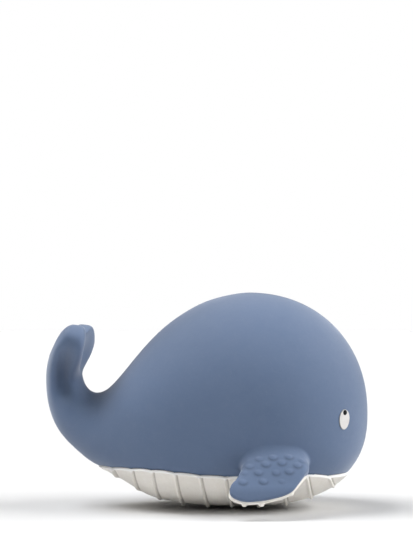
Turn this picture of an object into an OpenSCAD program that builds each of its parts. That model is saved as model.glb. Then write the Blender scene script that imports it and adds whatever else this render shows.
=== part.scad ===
// Whale teether: a hollow moulded rubber whale with a ribbed belly, two soft
// flippers with chewing bumps, a curled tail and a plug that seals the moulding.
// Frame: +X to the nose, +Y to the whale's left, +Z up.
// Origin on the floor, under the middle of the whole box. Millimetres.

/* [Body] */
// Length from the nose to the back of the tail
body_length = 120; // [114:1:126]
// Height from the floor to the top of the back
body_height = 80; // [77:1:84]
// Width of the body without the flippers
body_width = 72; // [70:1:75]
// Thickness of the moulded rubber wall
wall = 2.2; // [1.8:0.1:2.6]

/* [Belly] */
// How far the belly panel stands proud of the blue skin
belly_step = 0.6; // [0.4:0.1:0.9]
// Height of a belly rib
rib_h = 1.8; // [1.6:0.1:2]
// Width of a belly rib at its foot
rib_w = 2.2; // [1.6:0.1:2.8]
// How far a rib leans towards the nose from the lip to the keel
rib_lean = 2.6; // [0:0.2:3]

/* [Flippers] */
// Thickness of the blue upper layer
flip_top = 1.7; // [1.4:0.1:1.9]
// Thickness of the cream lower layer
flip_under = 1.7; // [1.4:0.1:1.9]
// Height of a chewing bump on the upper face
bump_h = 0.7; // [0.4:0.1:1]
// Radius of a chewing bump at its foot
bump_r = 1.4; // [1:0.1:1.6]
// Radius of a knob on the lower face
knob_r = 1.1; // [0.8:0.1:1.3]

/* [Eyes] */
// Height of the white oval
eye_h = 7.2; // [6:0.2:8.4]
// Width of the white oval
eye_w = 5; // [4:0.2:6]
// Radius of the pupil
pupil_r = 0.9; // [0.6:0.1:1.2]

/* [Fill plug] */
// Radius of the plug and of its hole in the belly
plug_r = 3.5; // [2.8:0.1:3.6]

/* [Fits] */
// Gap between the flexing parts at their hinges
flex_gap = 0.3; // [0.2:0.05:0.4]
// Gap around the flipper's root bead
bead_gap = 0.1; // [0.05:0.05:0.15]

/* [Hidden] */
$fn = 48;
blue = "#71829e";
cream = "#e2ddd5";

sx = body_length / 120;
sy = body_width / 72;
sz = body_height / 79;

// Head dome: a blunt half egg in front of the widest section
head_x = 15.6;
head_len = 44.4;
head_z = 37.2;
head_up = 41.8;
head_down = 35.4;
head_half = 36;
low_n = 2.5;

// Sections from the widest one back to the tip of the tail, each as
// [top x, top z, bottom x, bottom z, half width]
LADDER = [
  [ 15.6, 79.0,  15.6,  1.8, 36.0],
  [  8.1, 78.0,   8.1,  1.8, 35.8],
  [  0.7, 76.0,   0.4,  2.0, 35.0],
  [ -5.9, 72.9,  -7.0,  2.6, 33.5],
  [-12.2, 68.9, -14.1,  3.6, 31.5],
  [-17.8, 64.3, -20.7,  5.2, 29.0],
  [-23.0, 59.0, -26.7,  7.3, 26.2],
  [-27.2, 53.9, -32.2, 10.0, 23.2],
  [-30.9, 49.2, -37.2, 13.3, 20.3],
  [-34.0, 45.6, -41.7, 16.3, 17.6],
  [-36.8, 43.3, -46.0, 19.3, 15.2],
  [-39.3, 42.2, -50.1, 22.6, 13.2],
  [-41.6, 42.0, -53.7, 26.4, 11.6],
  [-43.5, 43.0, -56.5, 30.5, 10.4],
  [-44.9, 45.0, -58.5, 35.3,  9.6],
  [-45.8, 47.2, -59.6, 40.1,  9.3],
  [-46.1, 49.4, -60.0, 45.0,  9.6],
  [-45.9, 51.6, -60.0, 49.2, 10.6],
  [-45.4, 53.9, -59.5, 53.3, 12.4],
  [-44.7, 56.3, -58.5, 57.0, 14.6],
  [-43.9, 58.7, -57.1, 60.3, 16.8],
  [-43.3, 61.1, -55.4, 63.0, 18.4],
  [-43.1, 63.3, -53.5, 65.1, 19.0],
  [-43.6, 65.3, -51.6, 66.6, 18.0],
  [-45.0, 66.8, -49.4, 67.1, 14.0],
  [-47.2, 67.5, -47.6, 67.5,  5.0]];
LAST = len(LADDER) - 1;

// Height of the line where blue meets cream, along the body
LIP = [[-60, 15.4], [-40, 15.4], [-24, 15.5], [-14, 14.7], [-4, 13.5], [10, 13.1], [36, 13.6], [60, 12.2]];
lip_back = 8.7;    // section where the cream starts behind
lip_front = 0.59;  // share of the head dome where it ends in front

// ---- section maths ----
function spow(x, p) = sign(x) * pow(abs(x), p);
function row(i) = i < 0
  ? [2 * head_x - LADDER[1][0], LADDER[1][1], 2 * head_x - LADDER[1][2], LADDER[1][3], LADDER[1][4]]
  : LADDER[min(i, LAST)];
function spline(a, b, c, d, t) =
  0.5 * (2 * b + (c - a) * t + (2 * a - 5 * b + 4 * c - d) * t * t + (3 * b - a - 3 * c + d) * t * t * t);
function sized(T, B, w) = [[T[0] * sx, T[1] * sz], [B[0] * sx, B[1] * sz], w * sy];
function shrunk(s, t) = let (e = (s[1] - s[0]) / max(0.001, norm(s[1] - s[0])))
  [s[0] + e * t, s[1] - e * t, max(0.05, s[2] - t)];
// A dome section at share q of the head (0 widest, 1 nose), taken in by t
function dome(q, t) = let (s = sin(90 * q), a = head_len * sx - t)
  [[head_x * sx + a * s, head_z * sz + (head_up * sz - t) * pow(max(0, 1 - pow(s, 2.04)), 1 / 2.04)],
   [head_x * sx + a * s, head_z * sz - (head_down * sz - t) * pow(max(0, 1 - pow(s, 2.37)), 1 / 2.37)],
   (head_half * sy - t) * pow(max(0, 1 - pow(s, 2.2)), 1 / 2.2)];
function rung(u, t) = let (i = floor(min(u, LAST - 0.0001)), f = u - i,
    r = spline(row(i - 1), row(i), row(i + 1), row(i + 2), f))
  shrunk(sized([r[0], r[1]], [r[2], r[3]], r[4]), t);
// Section at station u: negative on the head dome, positive along the ladder
function section(u, t) = u < 0 ? dome(-u, t) : rung(u, t);
function lower_n(u) = u < 7 ? low_n : max(2, low_n - 0.12 * (u - 7));
// A point of a section at angle v: -90 keel, 0 right flank, 90 back, 180 left flank
function on_ring(s, n_low, v) = let (n = sin(v) < 0 ? n_low : 2, h = spow(sin(v), 2 / n),
    m = (s[0] + s[1]) / 2, d = (s[0] - s[1]) / 2)
  [m[0] + h * d[0], -s[2] * spow(cos(v), 2 / n), m[1] + h * d[1]];
// Angle at which a section crosses the lip line
function lip_angle(s, n_low, drop = 0) = let (m = (s[0] + s[1]) / 2, d = (s[0] - s[1]) / 2,
    eta = (lookup(s[1][0] / sx, LIP) * sz - drop - m[1]) / max(0.001, d[1]))
  eta <= -0.999 ? -90 : eta >= 0 ? 0 : -asin(pow(-eta, n_low / 2));
// Station of the section whose keel is at x
KEEL = [for (i = [LAST:-1:0]) if (i <= 15) [LADDER[i][2], i]];
function station(x, t) = x >= head_x * sx
  ? -asin(min(1, (x - head_x * sx) / (head_len * sx - t))) / 90
  : lookup(x / sx, KEEL);

// Faces of a strip between ring a and ring b, each with n + 1 points
function strip(a, b, n, close_a, close_b, flip) = [for (j = [0:n - 1])
  let (a0 = a + j, a1 = a + (close_a && j == n - 1 ? 0 : j + 1),
       b0 = b + j, b1 = b + (close_b && j == n - 1 ? 0 : j + 1))
  each flip ? [[a0, b0, a1], [a1, b0, b1]] : [[a0, a1, b0], [a1, b1, b0]]];
function fan(a, n, p, flip) = [for (j = [0:n - 1])
  let (k = a + (j + 1) % n) flip ? [a + j, p, k] : [a + j, k, p]];

// ---- upper skin ----
RING_N = 32;
DOME_U = [-0.96, -0.9, -0.82, -0.74, -0.66, -0.59, -0.54, -0.47, -0.4, -0.32, -0.24, -0.16, -0.08];
BACK_U = [for (u = [0:0.5:8]) u];
BASE_U = [8.4, 8.7, 9.2, 9.6, 10];
SHELL_U = concat(DOME_U, BACK_U, BASE_U);
TAIL_BASE_U = [10.5, 11, 11.5, 12, 12.5, 13, 13.4, 13.8];
// Ball of the tail's root and the cup that holds it
ball_c = [-51.9 * sx, 41.4 * sz];
ball_d = [0.572, -0.82];
ball_e = [0.82, 0.572];
root_h = 7.4;
root_w = 9.0;

function shell_ring(u, t) = let (s = section(u, t), n = lower_n(u), v0 = is_closed(u) ? -90 : lip_angle(s, n))
  [for (j = [0:RING_N]) on_ring(s, n, v0 + (180 - 2 * v0) * j / RING_N)];
function ball_ring(phi, grow, n) = let (m = ball_c + ball_d * (root_h + grow) * cos(phi),
    h = (root_h + grow) * sin(phi), w = (root_w + grow) * sin(phi))
  [for (j = [0:n]) let (v = -90 + 360 * j / n)
    [m[0] + ball_e[0] * h * sin(v), -w * cos(v), m[1] + ball_e[1] * h * sin(v)]];
function is_closed(u) = u >= lip_back - 0.001 || u <= -lip_front + 0.001;
function ring_shut(u, t) = is_closed(u) || lip_angle(section(u, t), lower_n(u)) < -89.99;
// Triangle, left out when two of its corners are the same
function tri(a, b, c) = a == b || b == c || a == c ? [] : [[a, b, c]];

module upper_skin() {
  step = RING_N + 1;
  CUP = [72, 60, 46, 32, 16];
  outer_u = concat(SHELL_U, TAIL_BASE_U);
  no = len(outer_u) + len(CUP);
  ni = len(SHELL_U);
  outer = concat([for (u = outer_u) each shell_ring(u, 0)],
                 [for (p = CUP) each ball_ring(p, flex_gap, RING_N)]);
  inner = [for (u = SHELL_U) each shell_ring(u, wall)];
  nose_o = section(-1, 0)[0];
  nose_i = section(-1, wall)[0];
  cup_p = ball_c + ball_d * (root_h + flex_gap);
  end_s = section(10.7, wall);
  end_i = (end_s[0] + end_s[1]) / 2;
  poles = [[nose_o[0], 0, nose_o[1]], [nose_i[0], 0, nose_i[1]],
           [cup_p[0], 0, cup_p[1]], [end_i[0], 0, end_i[1]]];
  io = len(outer);
  ip = len(outer) + len(inner);
  shut = [for (i = [0:no - 1]) i >= len(outer_u) || ring_shut(outer_u[i], 0)];
  lid = [for (i = [0:ni - 1]) ring_shut(SHELL_U[i], wall)];
  faces = concat(
    fan(0, RING_N, ip, true),
    [for (i = [0:no - 2]) each strip(i * step, (i + 1) * step, RING_N, shut[i], shut[i + 1], false)],
    fan((no - 1) * step, RING_N, ip + 2, false),
    fan(io, RING_N, ip + 1, false),
    [for (i = [0:ni - 2]) each strip(io + i * step, io + (i + 1) * step, RING_N, lid[i], lid[i + 1], true)],
    fan(io + (ni - 1) * step, RING_N, ip + 3, true),
    // lip faces on both sides, one web across where the cavity has closed
    [for (i = [0:ni - 2]) if (!(shut[i] && shut[i + 1]))
      let (a = i * step, b = a + step, c = io + a, d = io + b,
           a2 = a + (shut[i] ? 0 : RING_N), b2 = b + (shut[i + 1] ? 0 : RING_N),
           c2 = c + (lid[i] ? 0 : RING_N), d2 = d + (lid[i + 1] ? 0 : RING_N))
      each lid[i] && lid[i + 1]
        ? concat(tri(a, b, b2), tri(a, b2, a2))
        : concat([[a, b, c], [b, d, c], [a2, c2, b2], [b2, c2, d2]],
                 lid[i + 1] ? tri(b, b2, d) : [], lid[i] ? tri(a, c, a2) : [])]);
  color(blue) polyhedron(concat(outer, inner, poles), faces, convexity = 8);
}

// ---- belly panel ----
RIBS = [-33, -25.6, -17.8, -9.7, -1, 7.6, 16.9, 26.4, 36.1, 45.6];
BELLY_M = 18;
lip_drop = 0.06;
BELLY_X = concat([-38.4], [for (i = [0:9]) each concat([for (k = [-1, -0.6, -0.28, 0.28, 0.6, 1]) RIBS[i] + k * rib_w / 2],
  i < 9 ? [(RIBS[i] + RIBS[i + 1]) / 2] : [])], [48.4]);
function ridge(x) = let (d = min([for (r = RIBS) abs(x - r)]) / (rib_w / 2)) d < 1 ? pow(cos(90 * d), 2) : 0;
// Belly point: x at the lip, w from -1 (right lip) through 0 (keel) to 1 (left lip)
function belly_point(x, w, outside) = let (
    xe = (x + rib_lean * (1 - abs(w))) * sx,
    t = outside ? -belly_step - rib_h * ridge(x) * (1 - 0.7 * ramp((abs(w) - 0.25) / 0.75)) : wall,
    u = station(xe, t), s = section(u, t), n = lower_n(u),
    va = lip_angle(s, n, lip_drop), v = -90 + abs(w) * (va + 90),
    p = on_ring(s, n, v))
  [p[0], w > 0 ? -p[1] : p[1], outside ? max(0, p[2]) : p[2]];
// The cavity under the belly is a little shorter than the panel
function inner_x(x) = -34.6 + (x + 38.4) * 78 / 86.8;
function belly_pole(x, outside) = let (t = outside ? -belly_step : wall, u = station(x * sx, t), s = section(u, t))
  [s[1][0], 0, min(s[1][1], lookup(x, LIP) * sz)];

module belly_panel() {
  step = BELLY_M + 1;
  nx = len(BELLY_X);
  outer = [for (x = BELLY_X) for (j = [0:BELLY_M]) belly_point(x, -1 + 2 * j / BELLY_M, true)];
  inner = [for (x = BELLY_X) for (j = [0:BELLY_M]) belly_point(inner_x(x), -1 + 2 * j / BELLY_M, false)];
  io = len(outer);
  ip = io + len(inner);
  poles = [belly_pole(-40, true), belly_pole(-36.2, false), belly_pole(51.6, true), belly_pole(46.6, false)];
  lo = (nx - 1) * step;
  faces = concat(
    [for (i = [0:nx - 2]) each strip(i * step, (i + 1) * step, BELLY_M, false, false, false)],
    [for (i = [0:nx - 2]) each strip(io + i * step, io + (i + 1) * step, BELLY_M, false, false, true)],
    [for (j = [0:BELLY_M - 1]) [j, ip, j + 1]],
    [for (j = [0:BELLY_M - 1]) [io + j, io + j + 1, ip + 1]],
    [for (j = [0:BELLY_M - 1]) [lo + j, lo + j + 1, ip + 2]],
    [for (j = [0:BELLY_M - 1]) [io + lo + j, ip + 3, io + lo + j + 1]],
    [for (i = [0:nx - 2]) let (a = i * step, b = a + step) each [[a, b, io + a], [b, io + b, io + a]]],
    [for (i = [0:nx - 2]) let (a = i * step + BELLY_M, b = a + step) each [[a, io + a, b], [b, io + a, io + b]]],
    [[ip, 0, ip + 1], [0, io, ip + 1]],
    [[ip, ip + 1, BELLY_M], [BELLY_M, ip + 1, io + BELLY_M]],
    [[lo, ip + 2, io + lo], [ip + 2, ip + 3, io + lo]],
    [[lo + BELLY_M, io + lo + BELLY_M, ip + 2], [ip + 2, io + lo + BELLY_M, ip + 3]]);
  color(cream) difference() {
    polyhedron(concat(outer, inner, poles), faces, convexity = 8);
    translate([plug_x * sx, 0, -1]) cylinder(r = plug_r, h = 8);
  }
}

// ---- fill plug ----
plug_x = 14.4;
module fill_plug() {
  z0 = (1.8 - belly_step) * sz - 0.2;
  z1 = 1.8 * sz + wall + 0.3;
  color(cream) translate([plug_x * sx, 0, 0]) rotate_extrude()
    polygon([[0, z0], [plug_r - 0.4, z0], [plug_r, z0 + 0.4], [plug_r, z1], [plug_r + 1.4, z1],
             [plug_r + 0.6, z1 + 1], [0, z1 + 1.2]]);
}

// ---- tail ----
TAIL_N = 28;
FLUKE_U = concat([for (u = [14.8:0.5:23.8]) u], [24.2, 24.6]);
notch = 3.2;
function ramp(x) = let (k = max(0, min(1, x))) k * k * (3 - 2 * k);
function fluke_point(u, j) = let (s = section(u, 0), v = -90 + 360 * j / TAIL_N, p = on_ring(s, 2, v),
    cleft = exp(-pow(p[1] / (5 * sy), 2)), dip = notch * ramp((u - 19) / 5) * cleft,
    m = (s[0] + s[1]) / 2, thin = 1 - 0.3 * ramp((u - 17) / 4) * cleft)
  [m[0] + (p[0] - m[0]) * thin, p[1], m[1] + (p[2] - m[1]) * thin - dip];

module tail_fluke() {
  step = TAIL_N + 1;
  PHI = [18, 36, 54, 70, 84];
  nr = len(PHI) + len(FLUKE_U);
  rings = concat([for (p = PHI) each ball_ring(p, 0, TAIL_N)],
                 [for (u = FLUKE_U) for (j = [0:TAIL_N]) fluke_point(u, j)]);
  b = ball_c + ball_d * root_h;
  e = section(LAST, 0);
  m = (e[0] + e[1]) / 2;
  pts = concat(rings, [[b[0], 0, b[1]], [m[0], 0, m[1] - notch]]);
  faces = concat(fan(0, TAIL_N, nr * step, true),
    [for (i = [0:nr - 2]) each strip(i * step, (i + 1) * step, TAIL_N, true, true, false)],
    fan((nr - 1) * step, TAIL_N, nr * step + 1, false));
  color(blue) polyhedron(pts, faces, convexity = 6);
}

// ---- flippers: a curved paddle on a root bead, drawn for the left side (+Y) ----
arc_y = 14;        // centre of the paddle's curve
arc_z = -6.3;
arc_r = 32;        // radius of its upper face
mid_r = arc_r - flip_top;
low_r = mid_r - flip_under;
hinge_a = 50.5;    // place of the root bead round that curve
hinge_y = arc_y + mid_r * cos(hinge_a);
hinge_z = arc_z + mid_r * sin(hinge_a);
flip_x = 20;       // middle of the root
flip_yaw = 5;      // the root follows the flank
side_y = (body_width - 72) / 2 * 0.87;
// Outline seen from the side, front root first, as [x, z] from the middle of the root
OUTLINE = [[13.4, 26], [13.5, 16], [12.9, 15], [10.1, 11.8], [7.1, 9], [4.2, 7.5], [-0.7, 6.1],
           [-5.6, 5.4], [-9.4, 5.4], [-12.5, 6.3], [-14.2, 7.6], [-14.5, 9.3], [-13.9, 11.2],
           [-12.9, 12.9], [-11.7, 14.2], [-10.5, 15.9], [-10.2, 26]];
BUMPS = [[46, [-6.9, -1.2, 4.2, 9.4]], [40, [-9.8, -4.2, 1.9, 6.8]], [33.5, [-9.9, -3, 3.7]]];
KNOBS = [[24, [-9.4, -3.4]], [31, [6.6]], [33, [-6.4, 0.4]], [41, [-3.6, 1.8, 7.2]]];

module at_left() translate([flip_x * sx, side_y, 0]) rotate([0, 0, -flip_yaw]) children();
module both(right) { if (right) mirror([0, 1, 0]) children(); else children(); }
module along(r) translate([-40, arc_y, arc_z]) rotate([0, 90, 0]) cylinder(r = r, h = 80);
module bead(r, len) translate([-len / 2 + 1, hinge_y, hinge_z]) rotate([0, 90, 0]) cylinder(r = r, h = len);
module spot(a, x, r, rad) translate([x, arc_y + r * cos(a), arc_z + r * sin(a)]) sphere(r = rad, $fn = 24);
// Side outline, grown by g, below the root
module outline(g) intersection() {
  translate([0, 60, 0]) rotate([90, 0, 0]) linear_extrude(height = 34)
    polygon([for (p = OUTLINE) let (c = [0, 12], d = p - c) c + d * (1 + g / norm(d))]);
  translate([0, arc_y, arc_z]) rotate([hinge_a, 0, 0]) translate([-40, 5, -60]) cube([80, 60, 60]);
}

module flipper_top(right) {
  rs = (bump_r * bump_r + bump_h * bump_h) / (2 * bump_h);
  color(blue) both(right) at_left() union() {
    difference() {
      union() {
        intersection() { along(arc_r); outline(0); }
        for (b = BUMPS) for (x = b[1]) spot(b[0], x, arc_r + bump_h - rs, rs);
      }
      along(mid_r);
    }
    bead((arc_r - low_r) / 2, 22);
  }
}

module flipper_underside(right) {
  color(cream) both(right) at_left() difference() {
    union() {
      intersection() {
        difference() { along(mid_r); along(low_r); }
        outline(0.4);
      }
      for (k = KNOBS) for (x = k[1]) spot(k[0], x, low_r - 0.1, knob_r);
    }
    bead((arc_r - low_r) / 2, 40);
  }
}

// Moulded shoulder on the flank: the seat that the root bead turns in
module shoulder(right) {
  color(blue) both(right) at_left() difference() {
    translate([-10.5, 0, 0]) rotate([90, 0, 90]) linear_extrude(height = 23)
      polygon([[27.6, 14.6], [30.4, 14.4], [32.1, 15.2], [hinge_y, hinge_z], [hinge_y + 0.9, hinge_z + 1.5],
               [hinge_y + 0.6, 20.3], [32.9, 23.2], [30.6, 23.4], [29.2, 19]]);
    bead((arc_r - low_r) / 2 + bead_gap, 40);
  }
}

// ---- eyes ----
eye_x = 49.4;
eye_z = 32.3;
eye_u = -asin((eye_x - head_x) / head_len) / 90;
module at_eye(right) {
  s = section(eye_u, 0);
  m = (s[0] + s[1]) / 2;
  d = (s[0] - s[1]) / 2;
  eta = (eye_z * sz - m[1]) / d[1];
  v = asin(spow(eta, low_n / 2));
  p = on_ring(s, low_n, v);
  q = on_ring(section(eye_u + 0.01, 0), low_n, v);
  turn = atan2(abs(p[0] - q[0]), abs(p[1] - q[1]));
  both(!right) translate(p) rotate([0, 0, 90 - turn]) rotate([90, 0, 0]) children();
}
module oval(w, h) polygon([for (a = [0:12:348]) [w / 2 * cos(a), h / 2 * sin(a)]]);
module eye_white(right) color("#e4e1dc") at_eye(right) translate([0, 0, -1.2]) linear_extrude(height = 1.5) oval(eye_w, eye_h);
module eye_pupil(right) color("#0c0a0b") at_eye(right) translate([0, eye_h / 2 - pupil_r - 0.35, 0.3]) cylinder(r = pupil_r, h = 0.25);

upper_skin();
belly_panel();
tail_fluke();
shoulder(true);  // right_shoulder
shoulder(false);  // left_shoulder
flipper_top(true);  // right_flipper_top
flipper_underside(true);  // right_flipper_underside
flipper_top(false);  // left_flipper_top
flipper_underside(false);  // left_flipper_underside
eye_white(true);  // right_eye_white
eye_pupil(true);  // right_eye_pupil
eye_white(false);  // left_eye_white
eye_pupil(false);  // left_eye_pupil
fill_plug();
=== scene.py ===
import math

import bpy
import numpy as np
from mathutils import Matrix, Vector


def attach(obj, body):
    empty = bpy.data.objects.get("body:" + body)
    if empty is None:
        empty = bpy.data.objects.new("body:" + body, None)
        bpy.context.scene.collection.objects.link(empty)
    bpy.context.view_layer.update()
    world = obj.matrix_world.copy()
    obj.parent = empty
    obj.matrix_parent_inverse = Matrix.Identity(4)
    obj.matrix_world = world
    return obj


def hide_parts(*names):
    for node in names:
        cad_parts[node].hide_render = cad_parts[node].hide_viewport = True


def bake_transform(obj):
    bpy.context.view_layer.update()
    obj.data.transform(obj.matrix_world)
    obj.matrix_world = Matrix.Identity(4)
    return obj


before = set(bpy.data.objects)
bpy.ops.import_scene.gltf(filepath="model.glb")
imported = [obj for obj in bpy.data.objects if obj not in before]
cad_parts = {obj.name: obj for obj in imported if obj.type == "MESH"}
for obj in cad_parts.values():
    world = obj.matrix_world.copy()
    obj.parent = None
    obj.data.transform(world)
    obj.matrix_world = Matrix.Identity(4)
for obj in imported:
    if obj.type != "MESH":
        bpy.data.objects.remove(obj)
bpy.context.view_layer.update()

MM = 0.001
SZ = 80 / 79  # the sections below are drawn 79 mm high, the whale is 80 mm


# ---------------------------------------------------------------- small helpers
def ease(x):
    k = np.clip(x, 0, 1)
    return k * k * (3 - 2 * k)


def spow(x, p):
    return np.sign(x) * np.abs(x) ** p


def unit(a):
    return a / np.maximum(1e-12, np.linalg.norm(a, axis=-1, keepdims=True))


def smin(a, b, k):
    """Union of two distances with a soft fillet about k wide."""
    h = np.maximum(k - np.abs(a - b), 0) / k
    return np.minimum(a, b) - h * h * k / 4


def make_mesh(name, verts, faces, normals=None):
    """A mesh object from millimetre points, smooth shaded, with its own normals where given."""
    me = bpy.data.meshes.new(name)
    me.from_pydata((np.asarray(verts) * MM).tolist(), [], [list(f) for f in faces])
    me.polygons.foreach_set("use_smooth", np.ones(len(me.polygons), bool))
    me.update()
    if normals is not None:
        me.normals_split_custom_set_from_vertices(np.asarray(normals).tolist())
    ob = bpy.data.objects.new(name, me)
    bpy.context.scene.collection.objects.link(ob)
    return ob


def grid_faces(ni, nj, wrap, start=0, flip=False):
    """Quads of a grid of ni rows with nj points each."""
    i = np.arange(ni - 1)[:, None]
    j = np.arange(nj if wrap else nj - 1)[None, :]
    k = (j + 1) % nj
    q = np.stack([i * nj + j + 0 * k, i * nj + k, (i + 1) * nj + k, (i + 1) * nj + j], -1).reshape(-1, 4) + start
    return q[:, ::-1] if flip else q


# ---------------------------------------------------------------- the whale's form
# Sections from the widest one back to the fluke: top x, top z, bottom x, bottom z, half width
LADDER = np.array([
    [15.6, 79.0, 15.6, 1.8, 36.0], [8.1, 78.0, 8.1, 1.8, 35.8], [0.7, 76.0, 0.4, 2.0, 35.0],
    [-5.9, 72.9, -7.0, 2.6, 33.5], [-12.2, 68.9, -14.1, 3.6, 31.5], [-17.8, 64.3, -20.7, 5.3, 29.0],
    [-23.0, 59.0, -26.7, 8.6, 26.2], [-27.3, 54.0, -32.3, 11.8, 23.2], [-31.1, 49.4, -37.3, 14.3, 20.3],
    [-34.3, 45.8, -41.9, 16.2, 17.6], [-37.0, 43.4, -46.2, 19.2, 15.2], [-39.5, 42.2, -50.2, 22.6, 13.2],
    [-41.8, 42.1, -53.8, 26.4, 11.6], [-43.8, 43.1, -56.5, 30.5, 10.4], [-45.3, 45.0, -58.4, 35.3, 9.9],
    [-46.2, 47.2, -59.5, 40.1, 10.0], [-46.4, 49.4, -59.9, 45.0, 11.4], [-46.2, 51.6, -59.85, 49.2, 14.2],
    [-45.6, 53.9, -59.3, 53.3, 17.5], [-45.0, 56.3, -58.4, 57.0, 20.7], [-44.3, 58.7, -57.0, 60.2, 22.9],
    [-43.5, 61.1, -55.3, 62.7, 23.9], [-43.5, 63.2, -53.3, 64.5, 24.3], [-44.3, 65.1, -51.4, 65.8, 24.0]])
HEAD_X, HEAD_LEN, HEAD_Z, HEAD_UP, HEAD_DOWN, HEAD_HALF = 15.6, 44.4, 35.2, 43.8, 33.4, 36.0
HEAD_ARC = HEAD_LEN * math.pi / 2
CAP_U = 19.6  # last section before the rounded top of the fluke


def dome_rows(t):
    """Sections of the head at running length t, 0 at the widest one and -HEAD_ARC at the nose."""
    s = np.sin(np.clip(-t / HEAD_ARC, 0, 1) * math.pi / 2)
    x = HEAD_X + HEAD_LEN * s
    close = lambda n: np.maximum(0, 1 - s ** n) ** (1 / n)
    return np.stack([x, HEAD_Z + HEAD_UP * close(2.12), x, HEAD_Z - HEAD_DOWN * close(2.41), HEAD_HALF * close(2.2)], -1)


# Running length of each section, and one smooth run of sections through all of them
_step = np.linalg.norm(np.diff(LADDER[:, :4].reshape(-1, 2, 2), axis=0), axis=-1).max(axis=-1)
NODE_T = np.concatenate([[0], np.cumsum(_step)])
GRID_H = 0.4
GRID_T0 = -24.0
_n = int(math.ceil((NODE_T[-1] - GRID_T0) / GRID_H)) + 1
GRID_T = GRID_T0 + GRID_H * np.arange(_n)
_head_t = np.arange(GRID_T0, -1.0, 1.5)
_at = np.concatenate([_head_t, NODE_T])
_want = np.concatenate([dome_rows(_head_t), LADDER])
_pos = (_at - GRID_T0) / GRID_H
_lo = np.clip(np.floor(_pos).astype(int), 0, _n - 2)
_W = np.zeros((len(_at), _n))
_W[np.arange(len(_at)), _lo] = 1 - (_pos - _lo)
_W[np.arange(len(_at)), _lo + 1] += _pos - _lo
_D = np.diff(np.eye(_n), 3, axis=0)
_wt = np.concatenate([np.full(len(_head_t), 0.6), np.ones(len(NODE_T))])[:, None]
GRID = np.linalg.solve(_W.T @ (_wt * _W) + 900.0 * _D.T @ _D, _W.T @ (_wt * _want))
_mix = ease((GRID_T - GRID_T0 - 2) / 12)[:, None]
GRID = GRID * _mix + dome_rows(np.minimum(GRID_T, 0)) * (1 - _mix)


def rows(t):
    t = np.asarray(t, float)
    p = np.clip((t - GRID_T0) / GRID_H, 0, _n - 1.0001)
    i = np.floor(p).astype(int)
    f = (p - i)[..., None]
    g = lambda k: GRID[np.clip(i + k, 0, _n - 1)]
    a, b, c, d = g(-1), g(0), g(1), g(2)
    r = 0.5 * (2 * b + (c - a) * f + (2 * a - 5 * b + 4 * c - d) * f * f + (3 * b - a - 3 * c + d) * f ** 3)
    r = np.where((t < GRID_T0 + 1)[..., None], dome_rows(np.minimum(t, 0)), r)
    return r * np.array([1, SZ, 1, SZ, 1])


def node_t(u):
    return float(np.interp(u, np.arange(len(NODE_T)), NODE_T))


T7, T11, T14, T17, T19, T24 = (node_t(u) for u in (7, 11, 14, 17, 19, 22))
T_CAP = node_t(CAP_U)


def body_point(t, v):
    """A point of the smooth whale: t along it, v round it (-90 keel, 0 right flank, 90 back)."""
    t, v = np.broadcast_arrays(np.asarray(t, float), np.asarray(v, float))
    r = rows(t)
    n = 2 + 0.5 * ease(-np.where(v > 90, 180 - v, v) / 55) * (1 - ease((t - T7) / (T11 - T7)))
    c, s = np.cos(np.radians(v)), np.sin(np.radians(v))
    h = spow(s, 2 / n)
    m, d = (r[..., 0:2] + r[..., 2:4]) / 2, (r[..., 0:2] - r[..., 2:4]) / 2
    return np.stack([m[..., 0] + h * d[..., 0], -r[..., 4] * spow(c, 2 / n), m[..., 1] + h * d[..., 1]], -1)


def body_normal(t, v, e=0.15):
    a = body_point(t + e, v) - body_point(t - e, v)
    b = body_point(t, v + 0.3) - body_point(t, v - 0.3)
    return unit(np.cross(b, a))


# ---------------------------------------------------------------- the line where blue meets cream
LIP_X = np.array([-60, -40, -24, -14, -4, 10, 34, 44, 53, 60.0])
LIP_Z = np.array([15.3, 15.3, 16.0, 15.6, 14.3, 13.7, 15.2, 13.1, 13.2, 13.9]) * SZ
_lx = np.arange(-70, 70.01, 0.25)
_k = np.exp(-0.5 * (np.arange(-60, 61) * 0.25 / 5) ** 2)
_lz = np.convolve(np.pad(np.interp(_lx, LIP_X, LIP_Z), 60, "edge"), _k / _k.sum(), "valid")
RIBS = np.array([-34.3, -26.9, -19.4, -10.9, -1.7, 7.2, 16.9, 27.0, 36.1, 44.4])
_ends = np.concatenate([[-40.5], RIBS, [53.5]])


def scallop(x):
    """The lip bulges a little between two ribs and is notched at each."""
    i = np.clip(np.searchsorted(_ends, x) - 1, 0, len(_ends) - 2)
    f = np.clip((x - _ends[i]) / (_ends[i + 1] - _ends[i]), 0, 1)
    return 0.42 * np.sin(math.pi * f) ** 0.6


def lip_z(x):
    return np.interp(x, _lx, _lz) + scallop(x) - 0.25


def lip_distance(p, n):
    """How far a point of the skin is above the lip, along the skin."""
    return (p[..., 2] - lip_z(p[..., 0])) / np.sqrt(np.maximum(0.12, 1 - n[..., 2] ** 2))


def lip_angle(t):
    """Angle round the section at t where it crosses the lip, -90 where it doesn't."""
    v = np.arange(-90, 20.01, 0.25)
    p = body_point(np.asarray(t)[:, None], v[None, :])
    above = p[..., 2] - lip_z(p[..., 0])
    out = np.full(len(p), -90.0)
    for k in range(len(p)):
        w = np.nonzero(above[k] < 0)[0]
        if len(w) and w[0] == 0:
            i = w[np.nonzero(np.diff(np.append(w, 10 ** 6)) > 1)[0][0]]
            a, b = above[k, i], above[k, i + 1]
            out[k] = v[i] + 0.25 * a / (a - b)
    return out


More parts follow.
